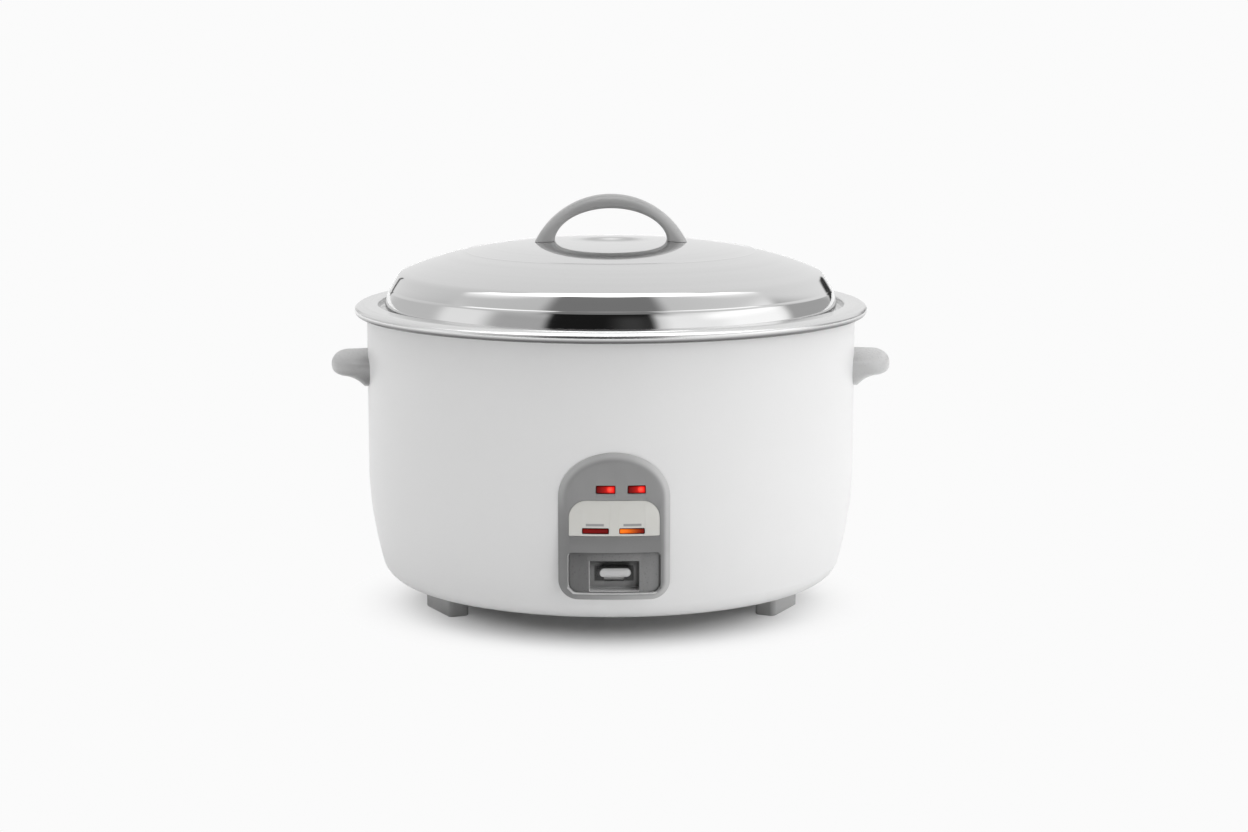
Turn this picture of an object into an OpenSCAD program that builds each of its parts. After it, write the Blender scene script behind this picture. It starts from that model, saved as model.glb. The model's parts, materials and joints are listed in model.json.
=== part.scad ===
// Free-standing rice cooker: painted shell, lift-out pot, loose lid, cast heating plate and a
// sprung magnetic thermostat that a rocking lever behind the front panel latches.
// Millimetres, +Z up, front at -Y, origin on the floor below the housing's axis.

/* [Housing] */
// Radius of the painted shell's straight wall
body_r = 190.4; // [188:0.2:192]
// Height of the shell's top lip above the floor
shell_top = 235; // [233:0.5:235]
// Height at which the wall starts to curve in
belly_z = 105; // [95:1:110]
// Height of the shell's flat bottom above the floor
base_z = 22; // [20:0.5:23]
// Thickness of the shell's steel sheet
shell_t = 1.2; // [0.8:0.1:1.6]

/* [Pot] */
// Outer radius of the pot's rolled rim
rim_r = 200; // [198:0.5:202]
// Height of the rim roll's centre
rim_z = 233; // [233:0.1:233.4]
// Inner radius of the pot
pot_r = 169; // [166:0.5:170]
// Height of the pot's underside, where it stands on the heating plate
plate_top = 76; // [75:0.5:77]
// Thickness of the pot's aluminium
pot_t = 2; // [1.6:0.1:2.2]

/* [Lid] */
// Height of the lid's top above the floor
lid_top = 286.3; // [282:0.1:290]
// Radius at which the dome turns into the skirt
shoulder_r = 165; // [163:0.5:166]
// Drop from the lid's top to the shoulder
dome_rise = 25.25; // [22:0.25:28]
// Radius of the skirt's bottom edge
skirt_r = 176.4; // [175:0.1:178]
// Half of the lid handle's outer span
grip_span = 59.2; // [54:0.2:60]
// Height of the lid handle's top above the floor
grip_top = 321; // [318:1:326]
// Thickness of the lid handle's arch at its top
grip_t = 10; // [8:0.5:11]
// Depth of the lid handle, front to back
grip_d = 26; // [22:1:30]

/* [Side handles] */
// Distance from the axis to a side handle's tip
side_tip = 219; // [214:1:224]
// Height of a side handle's top where it meets the wall
side_top = 199.3; // [197:0.1:204]
// Length of a side handle along the wall
side_len = 78; // [74:2:90]

/* [Control panel] */
// Width of the panel
panel_w = 81; // [78:1:84]
// Height of the panel's lower edge above the floor
panel_z0 = 41.5; // [40:0.5:42]
// Height of the panel's arched top above the floor
panel_z1 = 149.5; // [147:0.5:154]
// How far the panel's face stands out from the shell
panel_rise = 4; // [3.5:0.1:4.5]
// Width of the cream label plate
label_w = 65.7; // [62:0.1:68]
// Width of the recessed tray round the lever
tray_w = 66; // [62:1:68]

/* [Lever and thermostat] */
// Distance the lever's knob travels
knob_travel = 7.5; // [6:0.5:7.5]
// Distance of the lever's pivot in front of the axis
pivot_y = 95; // [92:1:98]
// Height of the lever's pivot
pivot_z = 42; // [42:0.1:42.5]

/* [Feet] */
// Direction of a foot from the front, seen from above
foot_angle = 71; // [66:1:74]
// Direction that a foot's outer face looks in
foot_turn = 64; // [60:1:72]
// Distance from the axis to a foot's outer face
foot_r = 143; // [138:1:144]
// Thickness of a foot, measured outwards
foot_t = 17; // [16:1:20]
// Length of a foot
foot_l = 48; // [44:1:50]

/* [Hidden] */

$fn = 96;
gap = 0.2;                                    // air between pieces that are laid against each other
run = 0.05;                                   // radial clearance of a pin in its bore

painted = "#E4E4E3";
grey = "#A5A5A4";
face_grey = "#858585";
aluminium = "#C9CBCD";
stainless = "#D5D6D7";
steel = "#A9ABAD";
lamp_red = "#B3120E";

// Shell
belly_end = [179.5, 35];                      // where the belly's curve meets the bottom corner
corner_r = 19.8;
corner_turn = 20;                             // how far the wall has leaned in by the corner
corner = [belly_end[0] - corner_r * cos(corner_turn), base_z + corner_r];
lip_r = 185.8;
bottom_open_r = 148;
foot_corner = 4;
floor_top = base_z + shell_t + 1.3;           // upper face of the base plate

// Liner round the pot
liner_t = 1;
liner_r = 178;
liner_corner = 40;
liner_floor = 52;
liner_under = liner_floor - liner_t;
liner_flange_z = shell_top - shell_t - gap;

// Pot
roll_r = 4;
ledge_z = rim_z - 1;
pot_corner = 36;

// Lid
lid_t = 1;
crease = [172.2, lid_top - 37];
skirt_bottom = ledge_z + 0.1;
grip_foot = [grip_span - 8.5, 0];              // centre of a handle foot
grip_rise = grip_top - lid_top + 1.9;         // from the feet's outer edge to the top
grip_r = (pow(grip_span, 2) + pow(grip_rise, 2)) / (2 * grip_rise);
grip_edge = 4;
grip_leg = 15.2;                              // width of a foot of the handle

// Side handles
side_drop = 27;                               // from a handle's top to its lower edge
side_screw_y = 22;
side_screw_z = 186;

// Panel
face_r = body_r + panel_rise;
flank_w = 5.5;
flank_steps = 6;
arch_h = 33;
panel_corner = 14;
tray_z = [47, 76];
tray_r = face_r - 2.5;
pocket_w = 36;
pocket_z = [47.9, 70];
pocket_back = 178;
pocket_slot = [53.2, 62.8];                    // heights the lever's strip moves between
label_z = [89, 115];
label_t = 0.6;
lamp_z = 123.1;
lamp_h = 5.8;
lamp_x = [-6.2, 16.2];
lamp_w = [14, 13];
window_z = 92.7;
window_h = 4.1;
window_x = [-13.6, 12.8];
window_w = [19.3, 18.4];
panel_screw_at = [[-30, 82.5], [30, 82.5], [-18, 133], [18, 133]];
panel_screw_head = [183.8, 183.8, 187.2, 187.2];

// Lever
lever_w = 12;
lever_t = 2;
lever_lift = knob_travel;                     // the pivot stands midway between knob and magnet
knob_size = [25, 8, 8];
knob_front = 190;
knob_z = 61.4;
pin_r = 2;
shield_r = 82.6;                              // curved plate on the lever that closes the slot behind the knob
shield_w = 20;
shield_t = 0.6;
fork_z = 32;
switch_y = pivot_y + 25;
switch_top = 37;
button_r = 1.8;
spring_y = 50;

// Thermostat
tube_r = [14.3, 15.5];
tube_z = [46, 68];
cap_r = [16, 18.5];
magnet_z = [48, 57];
magnet_r = 10.5;
ferrite_z = magnet_z[1] + lever_lift + 0.5;
cap_under = plate_top - 3;
rod_r = 3;
rod_bottom = 27.5;

// Heating plate
plate_r = 118;
plate_under = plate_top - 12;
plate_hole = 19.5;
element_r = 80;
element_tube = 4.2;
element_z = plate_under - element_tube - gap;
post_ring = 98;

// Rear inlet
inlet_z = 47;
inlet_face = 190;
inlet_cavity = [24.8, 16, 16.8];
inlet_wall = 1.6;
pin_at = [[-7, -2], [7, -2], [0, 2]];

// ---- curves ----

function arc(centre, r, a0, a1, n = 10) =
    [for (i = [0:n]) let (a = a0 + (a1 - a0) * i / n) centre + r * [cos(a), sin(a)]];

// Line from p to q that bulges to its left by the given amount
function bow(p, q, bulge, n = 8) =
    let (d = (q - p) / norm(q - p))
    [for (i = [0:n]) let (t = i / n) p + t * (q - p) + 4 * t * (1 - t) * bulge * [-d[1], d[0]]];

function reversed(path) = [for (i = [len(path) - 1:-1:0]) path[i]];

// The path moved by t to its left; points on the axis stay on it
function beside(path, t) =
    [for (i = [0:len(path) - 1])
        let (a = path[max(i - 1, 0)], b = path[min(i + 1, len(path) - 1)], d = (b - a) / norm(b - a))
        [path[i][0] == 0 ? 0 : path[i][0] - t * d[1], path[i][1] + t * d[0]]];

function sheet(path, t) = concat(path, reversed(beside(path, t)));

// Rectangle with its own radius at the bottom and at the top corners
function plate_outline(x0, x1, z0, z1, low, high) = concat(
    arc([x1 - low, z0 + low], low, -90, 0, 6),
    arc([x1 - high, z1 - high], high, 0, 90, 6),
    arc([x0 + high, z1 - high], high, 90, 180, 6),
    arc([x0 + low, z0 + low], low, 180, 270, 6));

// ---- shared shapes ----

module spun(path, t) {
    rotate_extrude() polygon(sheet(path, t));
}

module ring(r0, r1, z0, z1) {
    translate([0, 0, z0]) difference() {
        cylinder(r = r1, h = z1 - z0);
        translate([0, 0, -1]) cylinder(r = r0, h = z1 - z0 + 2);
    }
}

module rod_y(x, z, r, y0, y1) {
    translate([x, y1, z]) rotate([90, 0, 0]) cylinder(r = r, h = y1 - y0, $fn = 32);
}

module rod_x(y, z, r, x0, x1) {
    translate([x0, y, z]) rotate([0, 90, 0]) cylinder(r = r, h = x1 - x0, $fn = 32);
}

module rod_z(x, y, r, z0, z1) {
    translate([x, y, z0]) cylinder(r = r, h = z1 - z0, $fn = 32);
}

// Outline in X and Z, extruded between two distances in front of the axis
module front_block(outline, near, far) {
    translate([0, -near, 0]) rotate([90, 0, 0]) linear_extrude(far - near) polygon(outline);
}

// The same outline as a piece that follows the shell round the axis
module front_curved(outline, r0, r1) {
    intersection() {
        front_block(outline, 150, 205);
        ring(r0, r1, 20, 180);
    }
}

// Coil spring standing on z0
module coil(r, wire, z0, z1, turns) {
    sides = 6;
    steps = turns * 20;
    rise = z1 - z0 - 2 * wire;
    ringed_tube([for (i = [0:steps], k = [0:sides - 1])
        let (a = 360 * turns * i / steps, b = 360 * k / sides, out = r + wire * cos(b))
        [out * cos(a), out * sin(a), z0 + wire + rise * i / steps + wire * sin(b)]], sides);
}

// ---- lid ----

function dome_z(r) = lid_top - dome_rise * (0.53 * pow(r / shoulder_r, 2) + 0.47 * pow(r / shoulder_r, 4));

lid_path = concat(
    [for (i = [0:16]) let (r = (shoulder_r - 2) * i / 16) [r, dome_z(r)]],
    bow([shoulder_r + 0.6, dome_z(shoulder_r) - 0.9], crease, 0.55),
    bow(crease + [0.1, -0.2], [skirt_r - 0.2, skirt_bottom + 4.4], 0.7),
    [[skirt_r, skirt_bottom]]);

module lid_shell() {
    color(stainless) difference() {
        spun(lid_path, -lid_t);
        for (s = [-1, 1]) rod_z(s * grip_foot[0], 0, 2.6, 270, 300);
    }
}

function grip_inner() =
    [for (i = [0:24]) let (t = i * 7.5, a = grip_span - grip_leg, b = grip_top - grip_t - lid_top + 1.9)
        [a * cos(t), lid_top - 1.9 + b * sin(t)]];

// Disc with rounded edges whose rim is the top of the handle
module grip_disc() {
    half = grip_d / 2;
    translate([0, 0, grip_top - grip_r]) rotate([90, 0, 0]) rotate_extrude() polygon(concat(
        [[0, -half]],
        arc([grip_r - grip_edge, grip_edge - half], grip_edge, -90, 0, 6),
        arc([grip_r - grip_edge, half - grip_edge], grip_edge, 0, 90, 6),
        [[0, half]]));
}

module lid_handle() {
    swing = asin(grip_span / grip_r);
    arch = concat(
        arc([0, grip_top - grip_r], grip_r + 1, 90 - swing, 90 + swing, 24),
        [[-grip_span, 280], [-grip_span + grip_leg, 280]],
        reversed(grip_inner()),
        [[grip_span - grip_leg, 280], [grip_span, 280]]);
    color(grey) difference() {
        intersection() {
            translate([0, grip_d / 2, 0]) rotate([90, 0, 0]) linear_extrude(grip_d) polygon(arch);
            grip_disc();
        }
        rotate_extrude() polygon(concat([[0, 270]], [for (i = [0:14]) [i * 5, dome_z(i * 5) + gap]], [[70, 270]]));
        for (s = [-1, 1]) rod_z(s * grip_foot[0], 0, 2.2 + run, 275, lid_top + 6);
    }
}

module lid_handle_washers() {
    color("#3A3A3A") for (s = [-1, 1]) translate([s * grip_foot[0], 0, 0])
        ring(2.6, 8, dome_z(50) - lid_t - 2, dome_z(50) - lid_t - 0.7);
}

module lid_handle_screws() {
    head = dome_z(50) - lid_t - 2;
    color(steel) for (s = [-1, 1]) {
        rod_z(s * grip_foot[0], 0, 2.2, head - 1, lid_top + 5);
        difference() {
            rod_z(s * grip_foot[0], 0, 4.6, head - 3, head);
            translate([s * grip_foot[0], 0, head - 3]) cube([5, 1, 2], center = true);
            translate([s * grip_foot[0], 0, head - 3]) cube([1, 5, 2], center = true);
        }
    }
}

// ---- pot ----

pot_path = concat(
    arc([rim_r - roll_r, rim_z], roll_r, -150, 90, 24),
    arc([183.8, rim_z + 2.8], 2.2, 90, 180, 8),
    arc([180.4, rim_z + 0.2], 1.2, 0, -90, 6),
    arc([pot_r + 3, ledge_z - 3], 3, 90, 180, 6),
    arc([pot_r - pot_corner, plate_top + pot_t + pot_corner], pot_corner, 0, -90, 14),
    [[0, plate_top + pot_t]]);

module inner_pot() {
    color(aluminium) spun(pot_path, pot_t);
}

// ---- housing ----

shell_path = concat(
    [[lip_r, shell_top]],
    arc([body_r - 3, shell_top - 3], 3, 90, 0, 6),
    bow([body_r, belly_z], belly_end, 2.1, 12),
    arc(corner, corner_r, -corner_turn, -90, 12),
    [[bottom_open_r, base_z]]);

// Everything inside the shell's outer face, grown by a little
module shell_space(grow) {
    rotate_extrude() polygon(concat([[0, shell_top]], beside(shell_path, grow), [[0, base_z - grow]]));
}

module outer_shell() {
    color(painted) difference() {
        spun(shell_path, -shell_t);
        front_block(plate_outline(-pocket_w / 2 - 2, pocket_w / 2 + 2, pocket_z[0] - 2, pocket_z[1] + 2, 2, 2),
                    160, 200);
        front_block(plate_outline(-26, 26, 87, 127.5, 4, 4), 160, 200);
        for (p = panel_screw_at) rod_y(p[0], p[1], 1.7, -200, -160);
        translate([-14.4, 160, inlet_z - 10.6]) cube([28.8, 40, 21.2]);
        for (s = [-1, 1]) rod_y(s * 20, inlet_z, 1.7, 160, 200);
        for (s = [-1, 1]) rod_x(s * side_screw_y, side_screw_z, 2.3, -200, 200);
        for (i = [0:3]) rotate(45 + 90 * i) rod_z(152.5, 0, 1.7, base_z - 1, base_z + 4);
    }
}

liner_path = concat(
    [[187.4, liner_flange_z]],
    arc([187, liner_flange_z - 1.8], 1.8, 90, 180, 5),
    [[185.2, 228], [liner_r, 221]],
    arc([liner_r - liner_corner, liner_floor + liner_corner], liner_corner, 0, -90, 12),
    [[tube_r[1] + 0.5, liner_floor]]);

module inner_liner() {
    color(aluminium) difference() {
        spun(liner_path, liner_t);
        for (a = [-150, -30, 90]) rotate(a) rod_z(post_ring, 0, 2.7, 45, 60);
        for (s = [-1, 1]) rotate(90 + 18 * s) rod_z(element_r, 0, 6, 45, 60);
        for (s = [-1, 1]) rod_z(s * 21, 0, 1.7, 45, 60);
    }
}

module base_plate() {
    color(steel) difference() {
        ring(0, 157, base_z + shell_t + 0.1, floor_top);
        for (i = [0:3]) rotate(45 + 90 * i) rod_z(152.5, 0, 1.7, 20, 30);
        for (x = [-1, 1], y = [-1, 1]) foot_frame(x, y) rod_z(0, 0, 2.2, 20, 30);
        for (i = [0:17]) rotate(i * 20 + 10) rod_z(66, 0, 3.5, 20, 30);
        for (i = [0:11]) rotate(i * 30 + 15) rod_z(44, 0, 3.5, 20, 30);
        for (s = [-1, 1]) rod_z(s * 14, -pivot_y, 1.7, 20, 30);
    }
}

module base_screws() {
    color(steel) for (i = [0:3]) rotate(45 + 90 * i) {
        rod_z(152.5, 0, 3, base_z - 1.8, base_z);
        rod_z(152.5, 0, 1.5, base_z - 0.5, floor_top + 3);
    }
}

// Puts its children at one of the four feet, with +X pointing outwards
module foot_frame(side, end) {
    spread = foot_angle - foot_turn;
    mirror([side > 0 ? 0 : 1, 0, 0]) mirror([0, end > 0 ? 1 : 0, 0])
        rotate(foot_turn - 90) translate([foot_r - foot_t / 2, (foot_r - 10) * tan(spread), 0]) children();
}

module foot(side, end) {
    outline = plate_outline(-foot_t / 2, foot_t / 2, -foot_l / 2, foot_l / 2, foot_corner, foot_corner);
    color(grey) foot_frame(side, end) difference() {
        linear_extrude(base_z + shell_t + 0.1) polygon(outline);
        rod_z(0, 0, 4.6, -1, 6);
        rod_z(0, 0, 2.2, -1, 40);
    }
}

module foot_screws() {
    color(steel) for (x = [-1, 1], y = [-1, 1]) foot_frame(x, y) {
        rod_z(0, 0, 4.2, 3, 6);
        rod_z(0, 0, 2, 5, floor_top + 5);
        ring(1.99, 4, floor_top, floor_top + 3.2);
    }
}

// ---- heating ----

module heating_plate() {
    outline = concat(
        [[plate_hole, plate_under + 2], [24, plate_under], [108, plate_under], [plate_r, plate_under + 5]],
        arc([plate_r - 2, plate_top - 2], 2, 0, 90, 4),
        [[plate_hole, plate_top]]);
    color(aluminium) difference() {
        rotate_extrude() polygon(outline);
        for (a = [-150, -30, 90]) rotate(a) rod_z(post_ring, 0, 2.4 + run, 50, plate_top - 4);
    }
}

module heating_element() {
    color(steel) {
        rotate(90 + 18) rotate_extrude(angle = 324) translate([element_r, element_z]) circle(r = element_tube, $fn = 32);
        for (s = [-1, 1]) rotate(90 + 18 * s) {
            translate([element_r, 0, element_z]) sphere(r = element_tube, $fn = 32);
            rod_z(element_r, 0, 3, 44, element_z);
        }
    }
}

module plate_posts() {
    color(steel) for (a = [-150, -30, 90]) rotate(a) translate([post_ring, 0, 0])
        ring(2.6, 5, liner_floor, plate_under);
}

module plate_screws() {
    color(steel) for (a = [-150, -30, 90]) rotate(a) {
        rod_z(post_ring, 0, 4.5, liner_under - 3, liner_under);
        rod_z(post_ring, 0, 2.4, liner_under - 1, plate_top - 5);
    }
}

module warm_band() {
    color("#B9A98A") rotate(-90 + 22) rotate_extrude(angle = 316)
        translate([liner_r + liner_t + gap, 118]) square([2, 28]);
}

module keep_warm_thermostat() {
    color("#2E2E2E") {
        rod_z(-62, 40, 8.5, 42, liner_under);
        for (s = [-1, 1]) translate([-62 + s * 5 - 0.4, 37, 36]) cube([0.8, 6, 6.5]);
    }
}

module thermal_fuse() {
    color("#C9B458") {
        translate([54, 40, 46]) rotate([0, 90, 0]) cylinder(r = 2.1, h = 16, $fn = 32);
        translate([46, 40, 46]) rotate([0, 90, 0]) cylinder(r = 0.6, h = 32, $fn = 24);
    }
}

module fuse_bracket() {
    color(steel) {
        translate([57, 36, liner_under - 1]) cube([10, 8, 1]);
        for (y = [36, 42.8]) translate([57, y, 43]) cube([10, 1.2, liner_under - 43.5]);
    }
}

// ---- side handles ----

side_bottom = side_top - side_drop;
side_section = concat(
    [[180, side_top], [body_r, side_top]],
    arc([side_tip - 9, side_top - 9.7], 9, 85, -10, 8),
    arc([side_tip - 6.2, side_top - 10.8], 6.1, -20, -75, 5),
    bow([side_tip - 6, side_top - 17.2], [192.5, side_bottom + 0.1], -2.2, 8),
    [[180, side_bottom]]);

module side_handle(s) {
    half = side_len / 2;
    plan = [for (i = [0:32]) let (t = -90 + i * 180 / 32)
        [181 + (side_tip - 181 + 0.5) * pow(cos(t), 0.55), half * sin(t)]];
    color(grey) mirror([s > 0 ? 0 : 1, 0, 0]) difference() {
        intersection() {
            translate([0, half, 0]) rotate([90, 0, 0]) linear_extrude(side_len) polygon(side_section);
            translate([0, 0, side_top - 40]) linear_extrude(50) polygon(concat([[175, -half]], plan, [[175, half]]));
            translate([170, 0, 0]) rotate([90, 0, 90]) linear_extrude(60)
                polygon(plate_outline(-half, half, side_bottom, side_top, 9, 9));
        }
        shell_space(gap);
        for (y = [-1, 1]) rod_x(y * side_screw_y, side_screw_z, 2 + run, 180, 203);
    }
}

module side_handle_plates() {
    color(steel) for (s = [-1, 1]) mirror([s > 0 ? 0 : 1, 0, 0]) difference() {
        translate([184.4, -31, side_screw_z - 8]) cube([1.6, 62, 16]);
        for (y = [-1, 1]) rod_x(y * side_screw_y, side_screw_z, 2.2, 180, 190);
    }
}

module side_handle_screws() {
    color(steel) for (s = [-1, 1], y = [-1, 1]) mirror([s > 0 ? 0 : 1, 0, 0]) {
        rod_x(y * side_screw_y, side_screw_z, 4, 181.6, 184.4);
        rod_x(y * side_screw_y, side_screw_z, 2, 184, 202);
    }
}

// ---- control panel ----

function panel_outline(inset) =
    let (a = panel_w / 2 - inset, b = arch_h - inset, c = panel_corner - inset, z0 = panel_z0 + inset)
    concat(arc([a - c, z0 + c], c, -90, 0, 8),
           [for (i = [0:24]) [a * cos(i * 7.5), panel_z1 - arch_h + b * sin(i * 7.5)]],
           arc([c - a, z0 + c], c, 180, 270, 8));

function lens_outline(x, z, w, h, grow) =
    plate_outline(x - w / 2 - grow, x + w / 2 + grow, z - h / 2 - grow, z + h / 2 + grow, 1, 1);

function label_outline(grow) =
    plate_outline(-label_w / 2 - grow, label_w / 2 + grow, label_z[0] - grow, label_z[1] + grow, 0.8, 13);

function tray_outline(grow) = concat(
    plate_outline(-tray_w / 2 - grow, tray_w / 2 + grow, tray_z[0] - grow, tray_z[1] + grow, 7, 3));

module panel_housing() {
    color(grey) difference() {
        union() for (i = [0:flank_steps]) let (t = i / flank_steps)
            front_curved(panel_outline(flank_w * t), 170, face_r - (panel_rise - 0.8) * (1 - t));
        shell_space(gap);
        difference() {
            front_curved(panel_outline(8), 170, face_r - 2.2);
            for (p = panel_screw_at) rod_y(p[0], p[1], 4, -200, -160);
        }
        front_block(tray_outline(gap), 150, 200);
        front_curved(label_outline(gap), face_r - label_t - 0.1, face_r + 1);
        for (i = [0, 1]) {
            front_block(lens_outline(lamp_x[i], lamp_z, lamp_w[i], lamp_h, gap), 150, 200);
            front_block(lens_outline(window_x[i], window_z, window_w[i], window_h, gap), 150, 200);
        }
        rod_y(panel_screw_at[0][0], panel_screw_at[0][1], 1.5 + run, -190.6, -170);
        rod_y(panel_screw_at[1][0], panel_screw_at[1][1], 1.5 + run, -190.6, -170);
        rod_y(panel_screw_at[2][0], panel_screw_at[2][1], 1.5 + run, -192.2, -170);
        rod_y(panel_screw_at[3][0], panel_screw_at[3][1], 1.5 + run, -192.2, -170);
    }
}

module panel_screws() {
    color(steel) for (i = [0:3]) let (p = panel_screw_at[i], head = panel_screw_head[i]) {
        rod_y(p[0], p[1], 3, -head, 2 - head);
        rod_y(p[0], p[1], 1.5, i < 2 ? -190.4 : -192, -head + 1);
    }
}

module lever_tray() {
    box = plate_outline(-pocket_w / 2 - 1.5, pocket_w / 2 + 1.5, pocket_z[0] - 0.8, pocket_z[1] + 1.5, 1.5, 1.5);
    color(face_grey) difference() {
        union() {
            front_curved(tray_outline(0), tray_r - 1.6, tray_r);
            intersection() {
                front_block(box, pocket_back, 195);
                cylinder(r = tray_r, h = 100);
            }
        }
        front_block(plate_outline(-pocket_w / 2, pocket_w / 2, pocket_z[0], pocket_z[1], 0.8, 0.8),
                    pocket_back + 1.5, 200);
        front_block(plate_outline(-7.4, 7.4, pocket_slot[0], pocket_slot[1], 1, 1), 170, 185);
    }
}

module label_plate() {
    color("#DEDFDA") difference() {
        front_curved(label_outline(0), face_r - label_t - 0.1, face_r - 0.1);
        for (i = [0, 1]) front_block(lens_outline(window_x[i], window_z, window_w[i], window_h, 0.15), 150, 200);
    }
}

module lens(x, z, w, h, depth, colour) {
    color(colour) front_curved(lens_outline(x, z, w, h, 0), face_r - depth, face_r - 0.2);
}

module lamp_holder() {
    color("#E9E7DD") difference() {
        front_curved(plate_outline(-26, 26, 85.5, 128.5, 2, 2), liner_r + 3.6, 187.4);
        for (i = [0, 1]) {
            front_curved(lens_outline(lamp_x[i], lamp_z, lamp_w[i], lamp_h, 0.6), 183.2, 189);
            front_curved(lens_outline(window_x[i], window_z, window_w[i], window_h, 0.6), 183.2, 189);
        }
    }
}

module neon_lamps() {
    color("#F2A063") for (i = [0, 1]) {
        rod_x(-sqrt(pow(185.4, 2) - pow(lamp_x[i], 2)), lamp_z, 1.7, lamp_x[i] - 4, lamp_x[i] + 4);
        rod_x(-sqrt(pow(185.4, 2) - pow(window_x[i], 2)), window_z, 1.7, window_x[i] - 4, window_x[i] + 4);
    }
}

// ---- lever ----

// Underside of the lever's strip, from the knob to the fork: distance in front of the axis, and height
lever_path = [[-knob_front + 6, knob_z - 1], [-174, knob_z - 1], [-166, 44], [-pivot_y - 3, pivot_z - 1],
              [-pivot_y + 25, pivot_z - 1], [-38, fork_z], [8, fork_z]];

module cook_lever() {
    color(steel) difference() {
        union() {
            translate([-lever_w / 2, 0, 0]) rotate([90, 0, 90]) linear_extrude(lever_w)
                polygon(sheet(lever_path, lever_t));
            rod_x(-pivot_y, pivot_z, 5, -lever_w / 2, lever_w / 2);
            translate([-shield_w / 2, 0, 0]) rotate([90, 0, 90]) linear_extrude(shield_w)
                polygon(sheet(arc([-pivot_y, pivot_z], shield_r, 161, 177, 10), shield_t));
        }
        rod_x(-pivot_y, pivot_z, pin_r + run, -20, 20);
        translate([-rod_r - 0.6, -8, 20]) cube([2 * rod_r + 1.2, 30, 20]);
    }
}

module lever_knob() {
    r = knob_size[2] / 2;
    bar = plate_outline(-knob_size[0] / 2, knob_size[0] / 2, knob_z - r, knob_z + r, r - 0.1, r - 0.1);
    color("#C9C7C8") difference() {
        front_block(bar, knob_front - knob_size[1], knob_front);
        translate([-lever_w / 2 - gap, -knob_front + 6 - gap, knob_z - 1 - gap])
            cube([lever_w + 2 * gap, 10, lever_t + 2 * gap]);
    }
}

module lever_bracket() {
    color(steel) difference() {
        union() {
            translate([-20, -pivot_y - 9, floor_top]) cube([40, 18, 1.5]);
            for (s = [-1, 1]) translate([s * 8.2 - 0.75, -pivot_y - 9, floor_top]) cube([1.5, 18, 25]);
        }
        rod_x(-pivot_y, pivot_z, pin_r + run, -20, 20);
        for (s = [-1, 1]) rod_z(s * 14, -pivot_y, 1.7, 20, 30);
    }
}

module lever_pin() {
    color(steel) {
        rod_x(-pivot_y, pivot_z, pin_r, -11, 9.2);
        rod_x(-pivot_y, pivot_z, 3.2, 9.2, 11);
    }
}

module lever_spring() {
    color(steel) translate([0, -spring_y, 0]) coil(3, 0.5, floor_top + 0.1, 34, 7);
}

module microswitch_body() {
    color("#2B2B2B") difference() {
        translate([-5, -switch_y - 10, floor_top]) cube([10, 20, switch_top - floor_top]);
        rod_z(0, -switch_y, button_r + run, 31.6, 40);
        for (s = [-1, 1]) rod_x(-switch_y + s * 7, floor_top + 4, 1.5, -10, 10);
    }
}

module microswitch_button() {
    color(lamp_red) rod_z(0, -switch_y, button_r, 34.4, pivot_z - 0.7);
}

// ---- thermostat ----

module sensor_housing() {
    color(steel) difference() {
        union() {
            ring(tube_r[0], tube_r[1], tube_z[0], tube_z[1]);
            ring(rod_r + 0.1, tube_r[1], tube_z[0], tube_z[0] + 1.2);
            ring(tube_r[1] - 0.5, 26, liner_under - 1.5, liner_under);
        }
        for (s = [-1, 1]) rod_z(s * 21, 0, 1.7, 45, 60);
    }
}

module sensor_screws() {
    color(steel) for (s = [-1, 1]) {
        rod_z(s * 21, 0, 3, liner_under - 3.6, liner_under - 1.5);
        rod_z(s * 21, 0, 1.5, liner_under - 2, liner_floor + 4);
    }
}

module sensor_cap() {
    color(aluminium) rotate_extrude() polygon(concat(
        [[0, cap_under], [cap_r[0], cap_under], [cap_r[0], 60], [cap_r[1], 60]],
        arc([cap_r[1] - 1, plate_top - 1], 1, 0, 90, 4),
        [[0, plate_top]]));
}

module sensor_ferrite() {
    color("#3B3A3C") rod_z(0, 0, magnet_r, ferrite_z, cap_under);
}

module sensor_spring() {
    color(steel) coil(12.4, 0.5, tube_z[0] + 1.3, cap_under - 0.1, 6);
}

module magnet() {
    color("#3B3A3C") difference() {
        rod_z(0, 0, magnet_r, magnet_z[0], magnet_z[1]);
        rod_z(0, 0, rod_r, 40, magnet_z[0] + 4);
    }
}

module magnet_rod() {
    color(steel) {
        rod_z(0, 0, rod_r, rod_bottom, magnet_z[0] + 4);
        rod_z(0, 0, 6, fork_z + lever_t + 0.8, fork_z + lever_t + 2.3);
        rod_z(0, 0, 6, rod_bottom, fork_z - 0.8);
    }
}

// ---- mains inlet and wiring ----

module inlet_socket() {
    w = inlet_cavity[0] / 2;
    h = inlet_cavity[2] / 2;
    flange = [[-25, -4], [-18, -11.2], [18, -11.2], [25, -4], [25, 4], [18, 11.2], [-18, 11.2], [-25, 4]];
    color("#1E1E1E") difference() {
        union() {
            difference() {
                translate([0, inlet_face, inlet_z]) rotate([90, 0, 0]) linear_extrude(18) polygon(flange);
                shell_space(gap);
            }
            translate([-w - inlet_wall, 168, inlet_z - h - inlet_wall])
                cube([2 * (w + inlet_wall), inlet_face - 168, 2 * (h + inlet_wall)]);
        }
        translate([-w, inlet_face - inlet_cavity[1], inlet_z - h]) cube([2 * w, 20, 2 * h]);
        for (p = pin_at) translate([p[0] - 1.05, 160, inlet_z + p[1] - 2.05]) cube([2.1, 20, 4.1]);
        for (s = [-1, 1]) rod_y(s * 20, inlet_z, 1.6, 160, 200);
    }
}

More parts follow.
